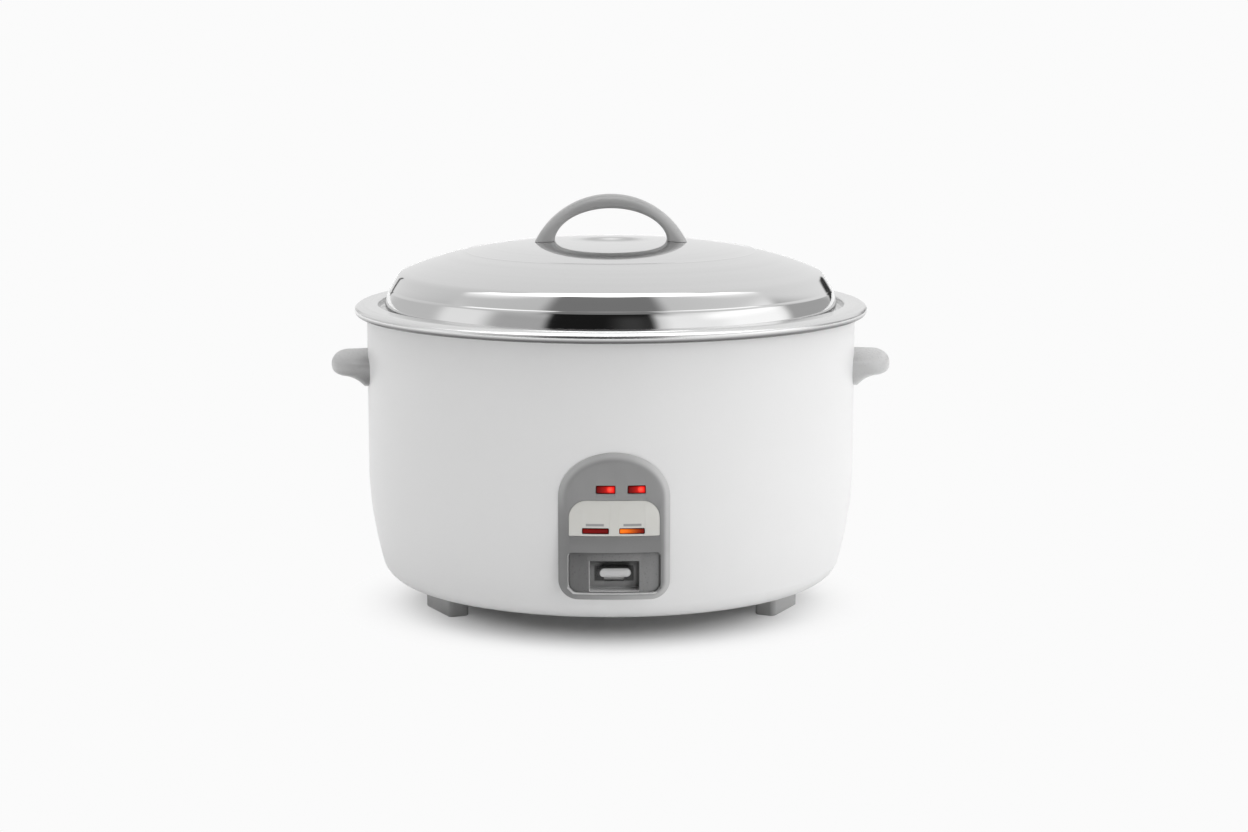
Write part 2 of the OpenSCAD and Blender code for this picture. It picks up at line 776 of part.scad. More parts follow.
module inlet_pins() {
    color("#C6B27A") for (p = pin_at) translate([p[0] - 1, 161, inlet_z + p[1] - 2]) cube([2, 27, 4]);
}

module inlet_screws() {
    color(steel) for (s = [-1, 1]) {
        rod_y(s * 20, inlet_z, 2.8, inlet_face, inlet_face + 1.8);
        rod_y(s * 20, inlet_z, 1.5, 174, inlet_face + 1);
    }
}

module terminal_block() {
    color("#E9E7DD") difference() {
        union() {
            translate([-30, 96, floor_top]) cube([36, 20, 9]);
            for (i = [0:2]) translate([-28 + 12 * i, 99, floor_top]) cube([8, 14, 15]);
        }
        for (i = [0:2]) {
            rod_y(-24 + 12 * i, floor_top + 5, 1.6, 90, 120);
            rod_z(-24 + 12 * i, 106, 2, floor_top + 8, floor_top + 20);
        }
    }
}

// Points of a smooth curve through the given ones, n to each span
function smooth(points, n = 5) = [for (i = [0:len(points) - 2], k = [0:(i == len(points) - 2 ? n : n - 1)])
    let (t = k / n, p0 = points[max(i - 1, 0)], p1 = points[i], p2 = points[i + 1],
         p3 = points[min(i + 2, len(points) - 1)])
    ((2 * p1) + (p2 - p0) * t + (2 * p0 - 5 * p1 + 4 * p2 - p3) * t * t
        + (3 * p1 - p0 - 3 * p2 + p3) * t * t * t) / 2];

// Tube whose rings of points are given, closed at both ends
module ringed_tube(points, sides) {
    rings = len(points) / sides;
    walls = [for (i = [0:rings - 2], k = [0:sides - 1])
        let (n = (k + 1) % sides)
        [i * sides + k, i * sides + n, (i + 1) * sides + n, (i + 1) * sides + k]];
    ends = [[for (k = [sides - 1:-1:0]) k], [for (k = [0:sides - 1]) (rings - 1) * sides + k]];
    polyhedron(points = points, faces = concat(walls, ends));
}

// Insulated wire along a smooth curve through the given points
module wire(points, r) {
    path = smooth(points);
    sides = 8;
    ringed_tube([for (i = [0:len(path) - 1], k = [0:sides - 1])
        let (d = path[min(i + 1, len(path) - 1)] - path[max(i - 1, 0)],
             u = cross(d, [0.1, 0.05, 1]) / norm(cross(d, [0.1, 0.05, 1])),
             v = cross(u, d) / norm(d))
        path[i] + r * (u * cos(k * 45) + v * sin(k * 45))], sides);
}

module wiring() {
    plug_z = floor_top + 5;
    color("#B8452E") {
        wire([[-24, 116.5, plug_z], [-24, 140, plug_z], [-10, 154, 44], [-7, 160.2, 45]], 1.4);
        wire([[0, 116.5, plug_z], [0, 132, plug_z], [7, 150, 42], [7, 160.2, 45]], 1.4);
        wire([[-24, 95.5, plug_z], [-24, 84, 30], [-78, 60, 30], [-92, 0, 30], [-78, -60, 30], [-30, -120, 30],
              [-6.5, -123, 30]], 1.4);
        wire([[0, 95.5, plug_z], [0, 84, 34], [26, 60, 36], [26, 71, 40], [24.7, 76.1, 42]], 1.4);
        wire([[-12, 95.5, plug_z], [-12, 88, 30], [-24, 72, 35], [-24.7, 76.1, 42]], 1.4);
        wire([[6.5, -117, 30], [26, -140, 30], [36, -168, 44], [36, -177, 70], [35, -179.5, 92], [27.8, -182.6, 108]],
             1.4);
    }
}

lid_shell();
lid_handle();
lid_handle_washers();
lid_handle_screws();
inner_pot();
outer_shell();
inner_liner();
base_plate();
base_screws();
foot(-1, -1);  // foot_front_left
foot(1, -1);  // foot_front_right
foot(-1, 1);  // foot_rear_left
foot(1, 1);  // foot_rear_right
foot_screws();
heating_plate();
heating_element();
plate_posts();
plate_screws();
warm_band();
keep_warm_thermostat();
thermal_fuse();
fuse_bracket();
side_handle(-1);  // side_handle_left
side_handle(1);  // side_handle_right
side_handle_plates();
side_handle_screws();
panel_housing();
lever_tray();
label_plate();
lens(lamp_x[0], lamp_z, lamp_w[0], lamp_h, 3, lamp_red);  // lamp_lens_left
lens(lamp_x[1], lamp_z, lamp_w[1], lamp_h, 3, lamp_red);  // lamp_lens_right
lens(window_x[0], window_z, window_w[0], window_h, 3, "#7A0F0C");  // cook_window
lens(window_x[1], window_z, window_w[1], window_h, 3, "#C8551A");  // warm_window
lamp_holder();
neon_lamps();
panel_screws();
lever_bracket();
lever_pin();
cook_lever();
lever_knob();
lever_spring();
microswitch_body();
microswitch_button();
sensor_housing();
sensor_cap();
sensor_ferrite();
sensor_spring();
sensor_screws();
magnet();
magnet_rod();
inlet_socket();
inlet_pins();
inlet_screws();
terminal_block();
wiring();
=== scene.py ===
"""Looks of the rice cooker: smooth pieces over the CAD nodes, node materials, floor, light and camera."""

import json
import math

import bmesh
import bpy
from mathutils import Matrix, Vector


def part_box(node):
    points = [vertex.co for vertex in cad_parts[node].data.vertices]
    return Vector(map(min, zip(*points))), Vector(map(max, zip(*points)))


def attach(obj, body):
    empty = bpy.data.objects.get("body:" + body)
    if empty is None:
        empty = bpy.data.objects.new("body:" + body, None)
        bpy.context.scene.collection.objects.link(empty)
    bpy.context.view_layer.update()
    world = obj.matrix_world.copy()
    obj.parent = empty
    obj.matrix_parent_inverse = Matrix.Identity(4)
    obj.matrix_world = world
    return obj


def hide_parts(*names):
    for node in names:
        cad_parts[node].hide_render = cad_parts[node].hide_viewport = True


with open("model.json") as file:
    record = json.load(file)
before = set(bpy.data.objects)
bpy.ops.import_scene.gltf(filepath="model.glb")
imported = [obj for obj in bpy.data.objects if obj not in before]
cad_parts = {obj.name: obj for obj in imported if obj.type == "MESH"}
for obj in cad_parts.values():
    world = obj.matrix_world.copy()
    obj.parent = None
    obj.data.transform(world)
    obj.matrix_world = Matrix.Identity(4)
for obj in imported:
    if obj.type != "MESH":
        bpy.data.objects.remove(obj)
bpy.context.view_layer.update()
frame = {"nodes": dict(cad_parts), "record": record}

MM = 0.001
scene = bpy.context.scene


# ---- measures, in millimetres, from the CAD nodes ----

def span(node, axis):
    """Lowest and highest value of a CAD node along an axis, in millimetres."""
    low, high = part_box(node)
    return low[axis] / MM, high[axis] / MM


SHELL_R = span("outer_shell", 0)[1]
BASE_Z, SHELL_TOP = span("outer_shell", 2)
RIM_R = span("inner_pot", 0)[1]
POT_UNDER, POT_TOP = span("inner_pot", 2)
SKIRT_R = span("lid_shell", 0)[1]
SKIRT_BOTTOM, LID_TOP = span("lid_shell", 2)
GRIP_SPAN = span("lid_handle", 0)[1]
GRIP_TOP = span("lid_handle", 2)[1]
GRIP_HALF = span("lid_handle", 1)[1]
FACE_R = -span("panel_housing", 1)[0]
PANEL_HALF = span("panel_housing", 0)[1]
PANEL_Z0, PANEL_Z1 = span("panel_housing", 2)


# ---- measures of the smooth pieces, in millimetres and degrees ----

# the lid: its dome, the curve into its skirt, and a faint raised ring
SHOULDER_R = SKIRT_R - 11.4
DOME_RISE = 25.25
SHOULDER_LEG = 2.4
RING_R = 113
RING_H = 0.25
# how far the feet of the lid's handle reach below the top of the dome
HANDLE_SINK = 1.9
# the shell's gauge
SHEET = 1.2
# the panel, with the radii of its tray's face and of its label's back
PANEL_RISE = FACE_R - SHELL_R
FLANK_W = 5.5
ARCH_H = 33
PANEL_CORNER = 14
TRAY_R = FACE_R - 2.5
LABEL_R = FACE_R - 0.7
SEAT_GAP = 0.2
# distances from the axis between which a cutter goes right through the panel
BEHIND_FACE = 150
PAST_FACE = 210
# openings, as limits in X and Z
POCKET = (-18, 18, 47.9, 70)
SLOT = (-7.4, 7.4, 53.2, 62.8)
INLET_HOLE = (-14.4, 14.4, 36.4, 57.6)
# the feet's turn from the X axis, and half their width and length
FOOT_TURN = 64
FOOT_SIZE = (8.5, 24)


# ---- curves in a plane ----

def arc(cx, cy, r, a0, a1, n=8):
    """Points of a circle's arc from angle a0 to a1, in degrees."""
    angles = [math.radians(a0 + (a1 - a0) * i / n) for i in range(n + 1)]
    return [(cx + r * math.cos(a), cy + r * math.sin(a)) for a in angles]


def bow(p, q, bulge, n=10):
    """A line from p to q that bulges to its left."""
    dx, dy = q[0] - p[0], q[1] - p[1]
    size = math.hypot(dx, dy)
    points = []
    for i in range(n + 1):
        t = i / n
        out = 4 * t * (1 - t) * bulge / size
        points.append((p[0] + t * dx - out * dy, p[1] + t * dy + out * dx))
    return points


def blend(p, corner, q, t):
    """The point at t of a quadratic Bezier curve from p to q round a corner."""
    return tuple((1 - t) ** 2 * p[k] + 2 * t * (1 - t) * corner[k] + t ** 2 * q[k] for k in (0, 1))


def beside(path, t):
    """The path moved by t to its left; points on the axis stay on it."""
    moved = []
    for i, (x, y) in enumerate(path):
        a, b = path[max(i - 1, 0)], path[min(i + 1, len(path) - 1)]
        dx, dy = b[0] - a[0], b[1] - a[1]
        size = math.hypot(dx, dy)
        moved.append((0 if x == 0 else x - t * dy / size, y + t * dx / size))
    return moved


def sheet(path, t):
    """The closed outline of a sheet of thickness t laid to the path's left."""
    return path + beside(path, t)[::-1]


def front_box(node):
    """A CAD node's limits in X and Z."""
    return span(node, 0) + span(node, 2)


def rounded(x0, x1, z0, z1, low, high):
    """A rectangle with one radius at its bottom corners and another at its top corners."""
    return (arc(x1 - low, z0 + low, low, -90, 0) + arc(x1 - high, z1 - high, high, 0, 90)
            + arc(x0 + high, z1 - high, high, 90, 180) + arc(x0 + low, z0 + low, low, 180, 270))


def grown(limits, grow, low, high):
    """A rounded rectangle with a margin round its limits in X and Z."""
    x0, x1, z0, z1 = limits
    return rounded(x0 - grow, x1 + grow, z0 - grow, z1 + grow, low, high)


# ---- meshes ----

def loft(loops, closed=False):
    """A bmesh through loops of points, in millimetres, of one count: capped, or joined last to first."""
    bm = bmesh.new()
    rings = [[bm.verts.new([c * MM for c in p]) for p in loop] for loop in loops]
    count = len(rings[0])
    pairs = list(zip(rings, rings[1:])) + ([(rings[-1], rings[0])] if closed else [])
    for a, b in pairs:
        for k in range(count):
            n = (k + 1) % count
            bm.faces.new((a[k], a[n], b[n], b[k]))
    if not closed:
        bm.faces.new(rings[0][::-1])
        bm.faces.new(rings[-1])
    bmesh.ops.remove_doubles(bm, verts=bm.verts, dist=1e-7)
    bmesh.ops.recalc_face_normals(bm, faces=bm.faces)
    return bm


def lathe(profile, steps=256):
    """The closed outline of (radius, height) turned round the Z axis."""
    turns = [2 * math.pi * i / steps for i in range(steps)]
    return loft([[(r * math.cos(a), r * math.sin(a), z) for a in turns] for r, z in profile], closed=True)


def prism(outline, r0, r1):
    """The outline in X and Z, between two distances in front of the Z axis."""
    return loft([[(x, -r, z) for x, z in outline] for r in (r0, r1)])


def flared(outline, r0, r1, width, steps=5):
    """A cutter for an opening, with its edge rounded over by a width at the face at distance r1."""
    sizes = [(0, r0)]
    for i in range(steps + 1):
        a = math.pi / 2 * i / steps
        sizes.append((width * (1 - math.cos(a)), r1 - width + width * math.sin(a)))
    sizes.append((width, r1 + 2))
    return loft([[(x, -r, z) for x, z in outline(grow)] for grow, r in sizes])


def to_object(bm, name):
    """A new object in the scene from the bmesh, which is used up."""
    mesh = bpy.data.meshes.new(name)
    bm.to_mesh(mesh)
    bm.free()
    obj = bpy.data.objects.new(name, mesh)
    scene.collection.objects.link(obj)
    return obj


def bake(obj):
    """Applies the object's modifiers to its mesh."""
    bpy.context.view_layer.update()
    evaluated = obj.evaluated_get(bpy.context.evaluated_depsgraph_get())
    obj.data = bpy.data.meshes.new_from_object(evaluated)
    obj.modifiers.clear()


def combine(obj, bm, operation="DIFFERENCE"):
    """Cuts the bmesh out of the object, or adds it."""
    tool = to_object(bm, obj.name + "_tool")
    modifier = obj.modifiers.new("combine", "BOOLEAN")
    modifier.operation = operation
    modifier.solver = "EXACT"
    modifier.object = tool
    bake(obj)
    bpy.data.objects.remove(tool)


def bevel(obj, width, segments=3, angle=40):
    """Rounds the edges sharper than an angle by a width in millimetres."""
    modifier = obj.modifiers.new("bevel", "BEVEL")
    modifier.width = width * MM
    modifier.segments = segments
    modifier.limit_method = "ANGLE"
    modifier.angle_limit = math.radians(angle)
    modifier.use_clamp_overlap = True
    bake(obj)


def wrap(obj, step=2):
    """Bends a piece modelled flat, at Y = -radius, round the Z axis, keeping its X."""
    bm = bmesh.new()
    bm.from_mesh(obj.data)
    count = int(PANEL_HALF / step)
    for i in range(-count, count + 1):
        geometry = bm.verts[:] + bm.edges[:] + bm.faces[:]
        cut = (i * step * MM, 0, 0)
        bmesh.ops.bisect_plane(bm, geom=geometry, dist=1e-7, plane_co=cut, plane_no=(1, 0, 0))
    for v in bm.verts:
        v.co.y = -math.sqrt(v.co.y ** 2 - v.co.x ** 2)
    bm.to_mesh(obj.data)
    bm.free()


def finish_piece(obj, material, slot, body, *nodes, sharp=35):
    """Smooth shading, material and the piece's place in the frame."""
    mesh = obj.data
    mesh.polygons.foreach_set("use_smooth", [True] * len(mesh.polygons))
    mesh.set_sharp_from_angle(angle=math.radians(sharp))
    mesh.materials.clear()
    mesh.materials.append(material)
    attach(obj, body)
    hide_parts(*nodes)


# ---- materials ----

class Graph:
    """A node tree, with arithmetic on its values."""

    def __init__(self, tree):
        self.nodes = tree.nodes
        self.links = tree.links

    def feed(self, socket, value):
        """Links a socket's value, or sets a plain one."""
        if isinstance(value, bpy.types.NodeSocket):
            self.links.new(value, socket)
        else:
            socket.default_value = value

    def maths(self, operation, *values):
        node = self.nodes.new("ShaderNodeMath")
        node.operation = operation
        for socket, value in zip(node.inputs, values):
            self.feed(socket, value)
        return node.outputs[0]

    def product(self, *values):
        result = values[0]
        for value in values[1:]:
            result = self.maths("MULTIPLY", result, value)
        return result

    def inverse(self, value):
        """1 minus the value."""
        return self.maths("SUBTRACT", 1, value)

    def between(self, a, b, share):
        """a where the share is 0, b where it is 1."""
        return self.maths("ADD", self.product(a, self.inverse(share)), self.product(b, share))

    def off(self, value, centre):
        """Distance of a value from a centre."""
        return self.maths("ABSOLUTE", self.maths("SUBTRACT", value, centre))

    def length(self, a, b):
        """The length of a vector with two parts."""
        return self.maths("SQRT", self.maths("ADD", self.product(a, a), self.product(b, b)))

    def ranged(self, source, low, high, start=0.3, end=0.7, smooth=False):
        """The source's range from start to end turned into low to high, and clamped."""
        node = self.nodes.new("ShaderNodeMapRange")
        node.interpolation_type = "SMOOTHSTEP" if smooth else "LINEAR"
        self.links.new(source, node.inputs["Value"])
        node.inputs["From Min"].default_value = start
        node.inputs["From Max"].default_value = end
        node.inputs["To Min"].default_value = low
        node.inputs["To Max"].default_value = high
        return node.outputs["Result"]

    def past(self, source, start, end, smooth=False):
        """0 up to the start, 1 from the end on."""
        return self.ranged(source, 0, 1, start, end, smooth)

    def below(self, source, start, end, smooth=False):
        """1 up to the start, 0 from the end on."""
        return self.ranged(source, 1, 0, start, end, smooth)


class Look(Graph):
    """A node material with textures in the object's own space, in metres."""

    def __init__(self, name, colour, roughness, metallic=0.0, **sockets):
        self.material = bpy.data.materials.new(name)
        self.material.use_nodes = True
        super().__init__(self.material.node_tree)
        self.shader = self.nodes["Principled BSDF"]
        self.shader.inputs["Base Color"].default_value = (*colour, 1)
        self.shader.inputs["Roughness"].default_value = roughness
        self.shader.inputs["Metallic"].default_value = metallic
        for socket, value in sockets.items():
            self.shader.inputs[socket.replace("_", " ")].default_value = value
        self.place = self.nodes.new("ShaderNodeTexCoord").outputs["Object"]

    def parts(self):
        """X, Y and Z of the surface point."""
        node = self.nodes.new("ShaderNodeSeparateXYZ")
        self.links.new(self.place, node.inputs[0])
        return node.outputs

    def radius(self):
        """Distance from the Z axis."""
        x, y, _ = self.parts()
        return self.length(x, y)

    def rings(self, fine, coarse):
        """Coordinates that change quickly with radius and height and slowly round the Z axis."""
        x, y, z = self.parts()
        radius = self.radius()
        node = self.nodes.new("ShaderNodeCombineXYZ")
        self.links.new(self.product(self.maths("ADD", radius, z), fine), node.inputs[0])
        self.links.new(self.product(x, coarse), node.inputs[1])
        self.links.new(self.product(y, coarse), node.inputs[2])
        return node.outputs[0]

    def tool_marks(self, fine):
        """Fine tool marks round the Z axis, and broad bands from 0 to 1."""
        marks = self.noise(1, 3, self.rings(fine, 6))
        bands = self.noise(1, 2, self.rings(180, 2))
        return marks, self.ranged(bands, 0, 1)

    def noise(self, scale, detail=2.0, at=None):
        """Cloudy noise around 0.5."""
        node = self.nodes.new("ShaderNodeTexNoise")
        node.inputs["Scale"].default_value = scale
        node.inputs["Detail"].default_value = detail
        self.links.new(at or self.place, node.inputs["Vector"])
        return node.outputs["Fac"]

    def cells(self, scale):
        """A random tone for each crystal."""
        node = self.nodes.new("ShaderNodeTexVoronoi")
        node.inputs["Scale"].default_value = scale
        self.links.new(self.place, node.inputs["Vector"])
        return node.outputs["Color"]

    def mixed(self, factor, a, b):
        """Colour a where the factor is 0 and b where it is 1."""
        node = self.nodes.new("ShaderNodeMix")
        node.data_type = "RGBA"
        self.feed(node.inputs[0], factor)
        for socket, value in ((node.inputs[6], a), (node.inputs[7], b)):
            self.feed(socket, value if isinstance(value, bpy.types.NodeSocket) else (*value, 1))
        return node.outputs[2]

    def set(self, socket, source):
        """Links a source to one of the shader's sockets."""
        self.links.new(source, self.shader.inputs[socket])

    def bump(self, source, height):
        """Relief of a height in millimetres."""
        node = self.nodes.new("ShaderNodeBump")
        node.inputs["Distance"].default_value = height * MM
        self.links.new(source, node.inputs["Height"])
        self.set("Normal", node.outputs["Normal"])

    def pebbled(self, smoothest, roughest, grain):
        """The surface of moulded plastic: uneven gloss over a fine grain."""
        self.set("Roughness", self.ranged(self.noise(900), smoothest, roughest))
        self.bump(self.noise(2600, 1), grain)

    def spun(self, anisotropy):
        """Turned metal: highlights stretch across the tool marks that run round the Z axis."""
        self.shader.inputs["Anisotropic"].default_value = anisotropy
        tangent = self.nodes.new("ShaderNodeTangent")
        tangent.direction_type = "RADIAL"
        tangent.axis = "Z"
        self.set("Tangent", tangent.outputs[0])


def grey(value, warmth=0.0):
    """A grey, a little redder and less blue with warmth."""
    return (value * (1 + warmth), value, value * (1 - warmth))


def shades(colour, tone):
    """The colour a little darker and a little paler."""
    return [c * (1 - tone) for c in colour], [min(c * (1 + tone), 1) for c in colour]


def plastic(name, colour, roughness, grain=0.010, tone=0.03):
    """Moulded plastic: fine pebbled grain with faint cloudy tone."""
    look = Look(name, colour, roughness)
    look.set("Base Color", look.mixed(look.ranged(look.noise(60, 3), 0, 1), *shades(colour, tone)))
    look.pebbled(roughness - 0.04, roughness + 0.05, grain)
    return look.material


def turned(name, colour, roughness, anisotropy, fine=2600, groove=0.002, tone=0.04):
    """Spun or machined metal with tool marks round the Z axis."""
    look = Look(name, colour, roughness, 1.0)
    marks, bands = look.tool_marks(fine)
    look.set("Base Color", look.mixed(bands, *shades(colour, tone)))
    look.set("Roughness", look.ranged(marks, roughness * 0.85, roughness * 1.15))
    look.bump(marks, groove)
    look.spun(anisotropy)
    return look.material


def lid_metal():
    """Polished spun steel, brushed in its middle, where a darker ring of colour is a painted reflection."""
    look = Look("lid_steel", grey(0.72), 0.1, 1.0)
    marks, bands = look.tool_marks(2600)
    bright = look.mixed(bands, grey(0.76), grey(0.79))
    radius = look.radius()
    # painted reflection: a darker ring of colour near the middle stands in for the dark reflection on the
    # spun centre
    ring = look.product(look.past(radius, 0.003, 0.013, True), look.below(radius, 0.014, 0.027, True))
    look.set("Base Color", look.mixed(ring, bright, grey(0.42)))
    brushed = look.ranged(radius, 0.22, 0.06, 0.018, 0.040, True)
    look.set("Roughness", look.product(brushed, look.ranged(marks, 0.85, 1.15)))
    look.bump(marks, 0.0012)
    look.spun(0.5)
    return look.material


def pot_metal():
    """Satin spun aluminium, duller on its wall, with painted shade on the underside of its rolled rim."""
    look = Look("pot_aluminium", grey(0.83), 0.24, 1.0)
    marks, bands = look.tool_marks(2000)
    bright = look.mixed(bands, grey(0.81), grey(0.86))
    radius = look.radius()
    _, _, z = look.parts()
    # painted shade: the rolled rim's colour darkens below its middle
    rolled = look.product(look.past(radius, 0.188, 0.196),
                          look.below(z, (POT_TOP - 7.6) * MM, (POT_TOP - 4.2) * MM, True))
    wall = look.below(radius, 0.1735, 0.1755, True)
    look.set("Base Color", look.mixed(wall, look.mixed(rolled, bright, grey(0.16)), grey(0.58)))
    look.set("Roughness", look.ranged(marks, 0.20, 0.28))
    look.bump(marks, 0.002)
    look.spun(0.3)
    return look.material


def rough_metal(name, colour, roughness, scale=700, grain=0.02, tone=0.08):
    """Cast or plated metal without a direction."""
    look = Look(name, colour, roughness, 1.0)
    look.set("Base Color", look.mixed(look.ranged(look.noise(scale / 8, 4), 0, 1), *shades(colour, tone)))
    look.set("Roughness", look.ranged(look.noise(scale / 3, 3), roughness * 0.85, roughness * 1.2))
    look.bump(look.noise(scale, 3), grain)
    return look.material


def galvanised(name):
    """Zinc-plated sheet with its crystal pattern."""
    look = Look(name, grey(0.55), 0.38, 1.0)
    spangle = look.cells(160)
    look.set("Base Color", look.mixed(look.ranged(spangle, 0, 1, 0, 1), grey(0.48), grey(0.60, 0.01)))
    look.set("Roughness", look.ranged(spangle, 0.3, 0.46, 0, 1))
    look.bump(look.noise(1200), 0.004)
    return look.material


def paint():
    """Enamelled sheet steel: satin, with a faint orange peel."""
    look = Look("white_paint", grey(0.78), 0.34, IOR=1.5)
    look.set("Base Color", look.mixed(look.ranged(look.noise(9, 3), 0, 1), grey(0.775), grey(0.79)))
    look.set("Roughness", look.ranged(look.noise(350), 0.32, 0.38))
    look.bump(look.noise(420, 1), 0.006)
    return look.material


def lens(name, box, left, right, glow, spot):
    """Tinted lens lit from behind, with painted shade along its edges.

    Its colour and its glow change from left to right. The glow peaks in a spot, given by its place as a share
    of the lens's width and height, its size in metres and its strength.
    """
    (x0, z0), (x1, z1) = box
    # painted shade: colour and glow darken within this width of each edge
    painted_shade_width = 0.0012
    look = Look(name, left, 0.10, Specular_IOR_Level=0.08)
    x, _, z = look.parts()
    ramps = []
    for place, low, high in ((x, x0, x1), (z, z0, z1)):
        for start, end in ((low, low + painted_shade_width), (high, high - painted_shade_width)):
            ramps.append(look.ranged(place, 0.08, 1, start, end, True))
    inside = look.product(*ramps)
    along = look.past(x, x0, x1, True)
    colour = look.mixed(along, left, right)
    share_x, share_z, size, strength = spot
    off_x = look.maths("SUBTRACT", x, x0 + (x1 - x0) * share_x)
    off_z = look.maths("SUBTRACT", z, z0 + (z1 - z0) * share_z)
    peak = look.ranged(look.length(off_x, off_z), strength, 0, 0, size, True)
    shine = look.maths("ADD", look.ranged(along, *glow, 0, 1), peak)
    # painted shade: near-black colour and less glow at the edges
    look.set("Base Color", look.mixed(inside, (0.012, 0.002, 0.002), colour))
    look.set("Emission Color", look.mixed(peak, colour, (1.0, 0.10, 0.06)))
    look.set("Emission Strength", look.product(shine, inside))
    look.bump(look.noise(500, 1), 0.004)
    return look.material


DARK_RED = (0.13, 0.004, 0.004)
LAMP_RED = (0.62, 0.010, 0.008)
COOK_RED = (0.17, 0.005, 0.004)
WARM_RED = (0.16, 0.005, 0.004)
AMBER = (0.86, 0.17, 0.012)


def side_plastic():
    """Moulded plastic of the side handles, with painted light on the right one and painted shade on the left
    one and underneath.
    """
    look = Look("side_plastic", grey(0.5), 0.3)
    x, _, z = look.parts()
    # painted shade underneath and on the left handle, painted light on the paler right handle
    underside = look.below(z, 0.180, 0.190, True)
    left = look.mixed(underside, grey(0.465), grey(0.235))
    right = look.mixed(underside, grey(0.53), grey(0.48))
    look.set("Base Color", look.mixed(look.past(x, -0.01, 0.01), left, right))
    look.pebbled(0.26, 0.34, 0.008)
    return look.material


def grip_plastic():
    """Moulded plastic of the lid's handle, with painted light towards its feet."""
    look = Look("grip_plastic", grey(0.34), 0.34)
    x, _, _ = look.parts()
    # painted light: paler colour away from the middle, towards the feet
    aside = look.past(look.off(x, 0), 0.018, 0.050, True)
    look.set("Base Color", look.mixed(aside, grey(0.335), grey(0.42)))
    look.pebbled(0.30, 0.38, 0.008)
    return look.material


def knob_plastic():
    """Glossy plastic, pale in a pill on its front, with painted shade round the edge."""
    x0, x1, z0, z1 = front_box("lever_knob")
    centre_x = ((x0 + x1) / 2 + 0.8) * MM
    centre_z = ((z0 + z1) / 2 - 0.5) * MM
    straight, pale_r, dark_r = 0.0078, 0.0030, 0.0038
    look = Look("knob_plastic", grey(0.62), 0.12)
    x, _, z = look.parts()
    past_straight = look.maths("MAXIMUM", look.maths("SUBTRACT", look.off(x, centre_x), straight), 0)
    off_pill = look.length(past_straight, look.maths("SUBTRACT", z, centre_z))
    # painted shade: dark colour round the edge of the knob's front
    dark = look.past(off_pill, pale_r, dark_r, True)
    look.set("Base Color", look.mixed(dark, grey(0.55), grey(0.05)))
    look.pebbled(0.10, 0.16, 0.002)
    return look.material


def tray_edges(look, x, z):
    """Masks for the recess round the tray: all of it, its lower left edge, which takes a painted highlight,
    and its upper right edge, which takes painted shade.
    """
    x0, x1, z0, z1 = [v * MM for v in front_box("lever_tray")]
    margin, corner, ramp = 0.001, 0.0021, 0.0002
    rising, falling = look.maths("ADD", x, z), look.maths("SUBTRACT", z, x)
    within = look.past(x, x0 - margin - ramp, x0 - margin)
    for place, limit, side in ((x, x1 + margin, -1), (z, z0 - margin, 1), (z, z1 + margin, -1),
                               (rising, x0 + z0 + corner, 1), (falling, z0 - x1 + corner, 1)):
        within = look.product(within, look.past(place, limit - side * ramp, limit))
    # the lower left edge, for a painted highlight
    low_left = look.below(rising, x0 + z0 + 0.0044, x0 + z0 + 0.0048)
    for place, limit in ((x, x0), (z, z0)):
        low_left = look.maths("MAXIMUM", low_left, look.below(place, limit + ramp, limit + 2 * ramp))
    # the upper right edge, for painted shade
    high_right = look.maths("MAXIMUM", look.past(x, x1 - 2 * ramp, x1 - ramp),
                            look.past(z, z1 - 2 * ramp, z1 - ramp))
    return within, low_left, high_right


def panel_plastic():
    """Moulded plastic with painted light on its flanks, most on the right and at the top, and painted shade
    low on its face. The recess's edge has a painted highlight at its lower left and painted shade opposite.
    """
    look = Look("panel_plastic", grey(0.3), 0.34)
    x, _, z = look.parts()
    radius = look.radius()
    within, low_left, high_right = tray_edges(look, x, z)
    # painted shade: the face darker towards the bottom
    face = look.ranged(z, 0.200, 0.265, 0.080, 0.125, True)
    sunk = look.below(radius, (FACE_R - 0.4) * MM, (FACE_R - 0.05) * MM)
    sloped = look.below(radius, (FACE_R - 1.8) * MM, (FACE_R - 0.05) * MM, True)
    # painted light: the flanks paler towards the right and the top
    flank = look.maths("MAXIMUM", look.ranged(x, 0.01, 0.24, -0.034, 0.036),
                       look.ranged(z, 0, 0.16, 0.100, 0.135, True))
    flank = look.product(flank, sloped, look.inverse(within))
    # painted highlight on the recess's lower left edge
    painted_edge_highlight = look.product(low_left, within, sunk, 0.36)
    # painted shade on the recess's upper right edge
    dark = look.product(high_right, within, sunk, 0.75)
    tone = look.maths("ADD", face, look.maths("ADD", flank, painted_edge_highlight))
    tone = look.product(tone, look.inverse(dark), look.ranged(look.noise(60, 3), 0.97, 1.03))
    combined = look.nodes.new("ShaderNodeCombineColor")
    for socket in combined.inputs:
        look.links.new(tone, socket)
    look.set("Base Color", combined.outputs[0])
    look.pebbled(0.30, 0.38, 0.008)
    return look.material


